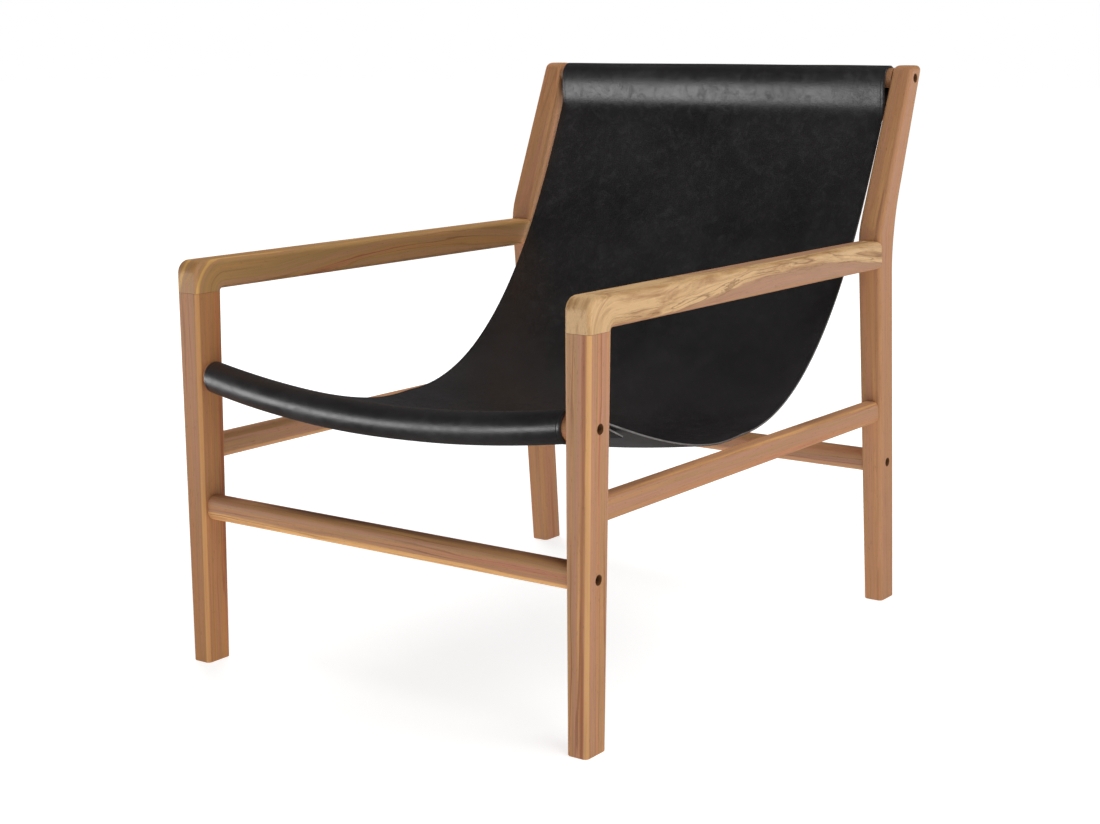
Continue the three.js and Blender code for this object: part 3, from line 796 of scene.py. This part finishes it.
def sheet_line(x):
    """The sheet's middle line at one place across it, from the top flap's end to the seat flap's end."""
    share = 1 - (x / half_sheet) ** 2
    seat_middle = seat_axis(x)
    seat_radius = SEAT_RAIL_RADIUS + SLEEVE_CLEARANCE + LEATHER_THICKNESS / 2
    top_radius = top_rail_radius + SLEEVE_CLEARANCE + LEATHER_THICKNESS / 2
    seat_touch = 90 - SEAT_FRONT_SLOPE_DEG
    seat_start = away(seat_middle, seat_touch, seat_radius)
    top_touch = 180 - TOP_SLEEVE_SLOPE_DEG
    sleeve_start = away(top_axis, top_touch, top_radius)
    back_start = top_axis - np.array([TOP_SLEEVE_REACH, TOP_SLEEVE_FALL])
    belly = np.array([front_leg_face + BELLY_SETBACK, BELLY_HEIGHT - BELLY_DIP * share])
    sleeve = [sleeve_start, away(sleeve_start, top_touch + 90, TOP_SLEEVE_PULL),
              away(back_start, 90 - BACK_TOP_SLOPE_DEG, TOP_SLEEVE_PULL), back_start]
    back = [back_start, away(back_start, -90 - BACK_TOP_SLOPE_DEG, BACK_TOP_PULL),
            away(belly, 0, BELLY_REAR_PULL), belly]
    seat = [seat_start, away(seat_start, -SEAT_FRONT_SLOPE_DEG, SEAT_FRONT_PULL),
            away(belly, 180, BELLY_FRONT_PULL), belly]
    sleeve_line, sleeve_length = bezier(sleeve, np.linspace(0, 1, SLEEVE_ROWS + 1))
    back_line, _ = bezier(back, np.linspace(0, 1, BACK_ROWS + 1))
    seat_line, seat_length = bezier(seat, np.linspace(0, 1, SEAT_ROWS + 1))
    layer = LEATHER_THICKNESS + FLAP_CLEARANCE
    top_flap = beside(sleeve, sleeve_length, sleeve_length, sleeve_length - TOP_FLAP, layer, 0.0)
    seat_flap = beside(seat, seat_length, SEAT_SEAM, SEAT_SEAM + SEAT_FLAP, -layer, -SEAT_FLAP_DROP)
    behind = touch_degrees(top_axis, top_radius, top_flap[-1], 1)
    under = touch_degrees(seat_middle, seat_radius, seat_flap[0], -1) + 360
    return np.concatenate([
        top_flap,
        arc(top_axis, top_radius, behind, top_touch, ROLL_ROWS),
        sleeve_line[1:],
        back_line[1:],
        seat_line[::-1][1:-1],
        arc(seat_middle, seat_radius, seat_touch, under, ROLL_ROWS),
        seat_flap,
    ])


def sheet_columns():
    """Places across the sheet, close together at its rounded edges and their creases."""
    insets = [share * EDGE_ROUNDING for share in EDGE_COLUMNS]
    insets += [CREASE_INSET + share * CREASE_WIDTH for share in CREASE_COLUMNS]
    inner = np.linspace(INNER_INSET, 2 * half_sheet - INNER_INSET, INNER_COLUMNS)
    far = [2 * half_sheet - inset for inset in reversed(insets)]
    return np.array(insets + list(inner) + far) - half_sheet


def sheet_sides(columns):
    """Points of the sheet's grain side and of its back, a line of them at each place across it."""
    grain_side = []
    flesh_side = []
    for x in columns:
        line = sheet_line(x)
        inset = half_sheet - abs(x)
        rounding = max(0.0, 1 - inset / EDGE_ROUNDING) ** 2 * EDGE_ROUNDING
        crease = CREASE_DEPTH * math.exp(-((inset - CREASE_INSET) / (CREASE_WIDTH / 2)) ** 2)
        half = LEATHER_THICKNESS / 2 - rounding
        for (y, z), (out_y, out_z) in zip(line, normals_of(line)):
            ripple = RIPPLE_HEIGHT * noise.noise(Vector((x, y, z)) / RIPPLE_LENGTH)
            above = half - crease + ripple
            below = half - ripple
            grain_side.append((x, y - out_y * above, z - out_z * above))
            flesh_side.append((x, y + out_y * below, z + out_z * below))
    return grain_side, flesh_side


def sheet_faces(across, along):
    """Faces that close the sheet, and the number of each one's material."""
    under = across * along
    faces = []
    kinds = []
    for column in range(across - 1):
        for row in range(along - 1):
            here = column * along + row
            beyond = here + along
            faces.append((here, here + 1, beyond + 1, beyond))
            faces.append((under + here, under + beyond, under + beyond + 1, under + here + 1))
            kinds += [GRAIN_SIDE, FLESH_SIDE]
    for row in range(along - 1):
        last = (across - 1) * along + row
        faces.append((row, under + row, under + row + 1, row + 1))
        faces.append((last, last + 1, under + last + 1, under + last))
        kinds += [CUT_EDGE, CUT_EDGE]
    for column in range(across - 1):
        here = column * along
        beyond = here + along
        end_here = here + along - 1
        end_beyond = beyond + along - 1
        faces.append((here, beyond, under + beyond, under + here))
        faces.append((end_here, under + end_here, under + end_beyond, end_beyond))
        kinds += [CUT_EDGE, CUT_EDGE]
    return faces, kinds


def build_sheet():
    columns = sheet_columns()
    grain_side, flesh_side = sheet_sides(columns)
    faces, kinds = sheet_faces(len(columns), len(grain_side) // len(columns))
    materials = [leather_material(), flesh_material(), cut_edge_material()]
    sheet = add_mesh("leather_sheet", grain_side + flesh_side, faces, materials, kinds)
    sheet.data.set_sharp_from_angle(angle=math.radians(SHARP_EDGE_DEG))
    return sheet


# Stitches

def stitch_points(middle, along, out):
    """Rings of points of one stitch, a short bent thread that dips into the leather at both ends."""
    side = along.cross(out)
    turns = [2 * math.pi * corner / STITCH_SIDES for corner in range(STITCH_SIDES)]
    points = []
    for ring in range(STITCH_RINGS):
        share = 2 * ring / (STITCH_RINGS - 1) - 1
        height = STITCH_RADIUS * (STITCH_RISE - STITCH_DIP * share ** 4)
        radius = STITCH_RADIUS * max(STITCH_END, math.sqrt(max(0.0, 1 - share ** 4)))
        centre = middle + along * (share * STITCH_LENGTH / 2) + out * height
        points += [centre + (side * math.cos(turn) + out * math.sin(turn)) * radius for turn in turns]
    return points


def stitch_faces(first):
    """Faces of one stitch, whose points start at the given number."""
    faces = []
    for ring in range(STITCH_RINGS - 1):
        start = first + ring * STITCH_SIDES
        for corner in range(STITCH_SIDES):
            here = start + corner
            beyond = start + (corner + 1) % STITCH_SIDES
            faces.append((here, beyond, beyond + STITCH_SIDES, here + STITCH_SIDES))
    last = first + (STITCH_RINGS - 1) * STITCH_SIDES
    faces.append(tuple(first + corner for corner in reversed(range(STITCH_SIDES))))
    faces.append(tuple(last + corner for corner in range(STITCH_SIDES)))
    return faces


def flap_place(x, at_top):
    """The place and the outward direction of a flap's outer face, near the flap's free end."""
    line = sheet_line(x)
    from_end = line if at_top else line[::-1]
    y, z = pick([STITCH_FROM_FLAP_END], run_along(from_end), from_end)[0]
    ahead = (from_end[2] - from_end[0]) * (1 if at_top else -1)
    out = Vector((0.0, ahead[1], -ahead[0])).normalized()
    return Vector((x, y, z)) + out * (LEATHER_THICKNESS / 2), out


def build_stitches():
    points = []
    faces = []
    count = int((2 * half_sheet - 2 * STITCH_END_INSET) / STITCH_PITCH)
    start = -STITCH_PITCH * (count - 1) / 2
    for at_top in (True, False):
        for number in range(count):
            x = start + number * STITCH_PITCH
            place, out = flap_place(x, at_top)
            ahead, _ = flap_place(x + STITCH_PITCH / 2, at_top)
            faces += stitch_faces(len(points))
            points += stitch_points(place, (ahead - place).normalized(), out)
    return add_mesh("sleeve_stitches", points, faces, [thread_material()])


# Stage

FLOOR_SIZE = 60.0
FLOOR_GREY = (0.5, 0.5, 0.5, 1.0)
FLOOR_LIGHT = 1.0
FLOOR_GLOW_NEAR = 0.80
FLOOR_GLOW_FAR = 1.0
GLOW_FROM = 0.7
GLOW_TO = 2.6
ROOM_LIGHT = 0.09
CHAIR_MIDDLE = (0.0, 0.0, 0.4)


def build_floor():
    """A pale floor that fades to white away from the chair and throws only a little light back."""
    half = FLOOR_SIZE / 2
    corners = [(-half, -half, 0), (half, -half, 0), (half, half, 0), (-half, half, 0)]
    material, graph, shader = new_material("pale_floor")
    distance = graph.length(graph.place())
    glow = graph.span(distance, GLOW_FROM, GLOW_TO, FLOOR_GLOW_NEAR, FLOOR_GLOW_FAR, smooth=True)
    seen = graph.add("ShaderNodeLightPath").outputs["Is Camera Ray"]
    shader.inputs["Base Color"].default_value = FLOOR_GREY
    shader.inputs["Roughness"].default_value = 0.9
    shader.inputs["Specular IOR Level"].default_value = 0.0
    shader.inputs["Emission Color"].default_value = WHITE
    graph.fill(shader, {"Emission Strength": graph.span(seen, 0.0, 1.0, FLOOR_LIGHT, glow)})
    floor = add_mesh("floor", corners, [(0, 1, 2, 3)], [material], smooth=False)
    floor.visible_glossy = False


def build_world():
    """A white backdrop that lights the chair only faintly."""
    world = bpy.data.worlds.new("studio")
    bpy.context.scene.world = world
    world.use_nodes = True
    world.node_tree.nodes.clear()
    graph = Graph(world.node_tree)
    seen = graph.add("ShaderNodeLightPath").outputs["Is Camera Ray"]
    backdrop = graph.add("ShaderNodeBackground", {"Color": WHITE, "Strength": 1.0})
    room = graph.add("ShaderNodeBackground", {"Color": WHITE, "Strength": ROOM_LIGHT})
    both = graph.add("ShaderNodeMixShader", {0: seen, 1: room.outputs[0], 2: backdrop.outputs[0]})
    graph.add("ShaderNodeOutputWorld", {0: both.outputs[0]})


def add_panel(name, place, target, width, height, power, diffuse=True, glossy=True):
    light = bpy.data.lights.new(name, "AREA")
    light.shape = "RECTANGLE"
    light.size = width
    light.size_y = height
    light.energy = power
    panel = bpy.data.objects.new(name, light)
    panel.location = place
    panel.rotation_euler = (Vector(target) - Vector(place)).to_track_quat("-Z", "Y").to_euler()
    panel.visible_camera = False
    panel.visible_diffuse = diffuse
    panel.visible_glossy = glossy
    bpy.context.scene.collection.objects.link(panel)


def build_lights():
    """Two high panels, and two low ones for the gloss alone: of the rolls, and of the outer sides."""
    add_panel("key_panel", (2.55, -0.7, 3.5), CHAIR_MIDDLE,
              width=2.6, height=2.6, power=86.0)
    add_panel("rear_panel", (-2.1, 1.5, 3.2), CHAIR_MIDDLE,
              width=2.0, height=2.0, power=80.0, glossy=False)
    add_panel("front_shine", (-1.395, -1.965, 0.32), (-1.15, -1.693, 1.251),
              width=2.6, height=1.75, power=105.0, diffuse=False)
    add_panel("side_shine", (2.6, 2.9, 0.7), (0.0, 0.0, 0.45),
              width=4.4, height=1.4, power=39.0, diffuse=False)


def build_camera():
    camera = bpy.data.cameras.new("camera")
    camera.lens = LENS_MM
    camera.sensor_width = SENSOR_MM
    camera.sensor_fit = "HORIZONTAL"
    holder = bpy.data.objects.new("camera", camera)
    holder.location = CAMERA_FROM_FRONT_LEG + Vector((0.0, front_leg_face, 0.0))
    holder.rotation_euler = (math.radians(90 - CAMERA_DOWN_DEG), 0.0, math.radians(CAMERA_TURN_DEG))
    bpy.context.scene.collection.objects.link(holder)
    bpy.context.scene.camera = holder


build_camera()
dress_frame()
sheet = build_sheet()
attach(sheet, "root")
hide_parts("leather_sling")
stitches = build_stitches()
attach(stitches, "root")
build_floor()
build_world()
build_lights()
bpy.context.scene.view_settings.view_transform = "Standard"
